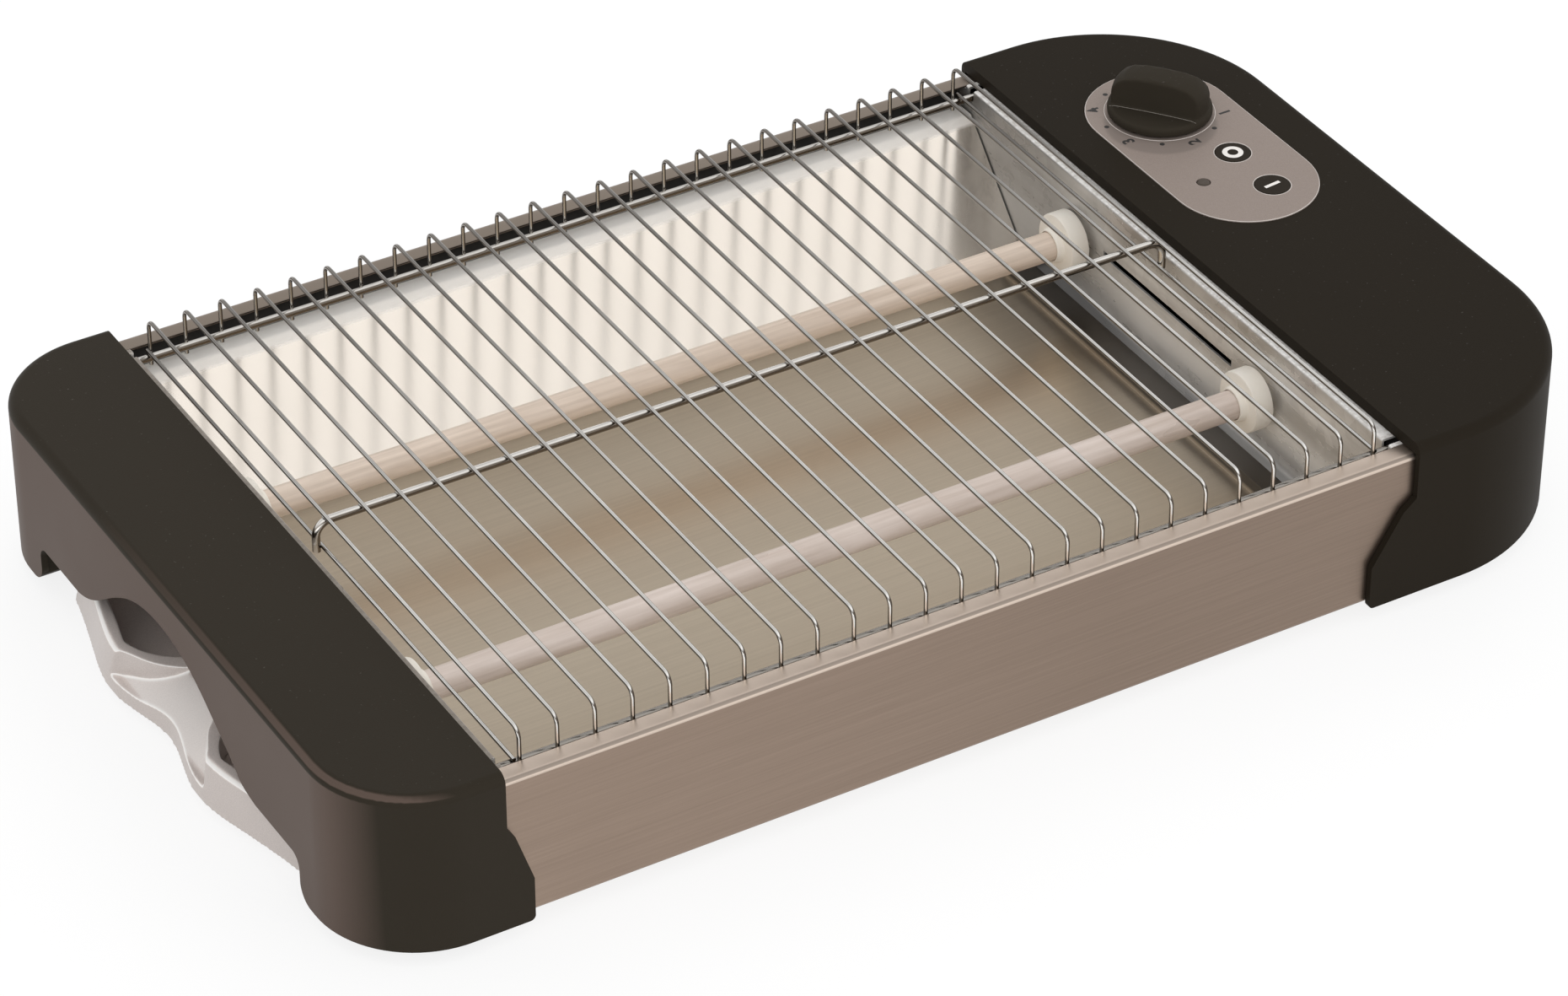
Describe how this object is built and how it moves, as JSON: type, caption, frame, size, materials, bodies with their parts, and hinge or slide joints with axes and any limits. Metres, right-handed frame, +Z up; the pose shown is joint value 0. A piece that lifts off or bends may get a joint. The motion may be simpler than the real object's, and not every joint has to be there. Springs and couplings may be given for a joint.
{
  "type": "electric toaster",
  "caption": "Flat electric toaster: a wire rack over quartz heaters in a brushed steel body with dark end mouldings, a timer knob, push buttons and a pull-out crumb tray.",
  "frame": {"origin": "on the table, under the middle of the whole length and width", "axes": "+X along the length from the tray's pull towards the control housing, +Y to the rear, +Z up"},
  "size_m": [0.3981, 0.2346, 0.0689],
  "materials": {
    "cap_plastic": "satin moulded, fine grain",
    "brushed_panel": "brushed along the length",
    "galvanised": "spangled sheet",
    "bright_sheet": "polished",
    "chrome_wire": "bright plated wire",
    "quartz": "translucent, milky",
    "winding": "resistance wire",
    "ceramic": "unglazed, cream",
    "terminal_steel": "plated",
    "tray_steel": "satin sheet",
    "silver_plastic": "satin silver",
    "control_silver": "satin silver with printed marks",
    "knob_plastic": "satin",
    "button_plastic": "satin with a light mark",
    "lens_plastic": "clear tinted",
    "lamp_epoxy": "clear tinted",
    "rubber": "matt",
    "board": "solder resist",
    "inner_plastic": "moulded",
    "lead_sleeve": "woven sleeve",
    "screw_steel": "plated"
  },
  "bodies": {
    "body": {"left_end_cap": "cap_plastic", "control_housing": "cap_plastic", "base_cover": "cap_plastic", "front_panel": "brushed_panel", "rear_panel": "brushed_panel", "front_reflector": "bright_sheet", "rear_reflector": "bright_sheet", "left_end_plate": "galvanised", "right_end_plate": "galvanised", "front_heater_tube": "quartz", "rear_heater_tube": "quartz", "front_heater_winding": "winding", "rear_heater_winding": "winding", "front_heater_holders": "ceramic", "rear_heater_holders": "ceramic", "left_heater_terminals": "terminal_steel", "right_heater_terminals": "terminal_steel", "heater_link": "terminal_steel", "heater_leads": "lead_sleeve", "control_plate": "control_silver", "indicator_lens": "lens_plastic", "indicator_lamp": "lamp_epoxy", "timer_potentiometer": "inner_plastic", "control_board": "board", "board_screws": "screw_steel", "start_switch": "inner_plastic", "stop_switch": "inner_plastic", "power_relay": "inner_plastic", "mains_terminals": "inner_plastic", "cord_gland": "cap_plastic", "cover_screws": "screw_steel", "left_feet": "rubber", "right_feet": "rubber"},
    "crumb_tray": {"crumb_tray": "tray_steel", "tray_pull": "silver_plastic", "tray_carrier": "cap_plastic", "tray_screws": "screw_steel"},
    "wire_rack": {"rack_frame": "chrome_wire", "rack_cross_wires": "chrome_wire"},
    "timer_knob": {"timer_knob": "knob_plastic", "knob_spindle": "terminal_steel"},
    "start_button": {"start_button": "button_plastic", "start_switch_plunger": "inner_plastic"},
    "stop_button": {"stop_button": "button_plastic", "stop_switch_plunger": "inner_plastic"}
  },
  "joints": [
    {"name": "tray_slide", "type": "slide", "parent": "body", "child": "crumb_tray", "axis": [-1, 0, 0], "range_m": [0, 0.27]},
    {"name": "rack_lift", "type": "slide", "parent": "body", "child": "wire_rack", "axis": [0, 0, 1], "range_m": [0, 0.1]},
    {"name": "knob_turn", "type": "hinge", "parent": "body", "child": "timer_knob", "pos_m": [0.16185, 0.062, 0.0553], "axis": [0, 0, 1], "range_deg": [-190, 20]},
    {"name": "start_press", "type": "slide", "parent": "body", "child": "start_button", "axis": [0, 0, -1], "range_m": [0, 0.0012], "stiffness_N_per_m": 1500, "springref_m": -0.0006},
    {"name": "stop_press", "type": "slide", "parent": "body", "child": "stop_button", "axis": [0, 0, -1], "range_m": [0, 0.0012], "stiffness_N_per_m": 1500, "springref_m": -0.0006}
  ]
}
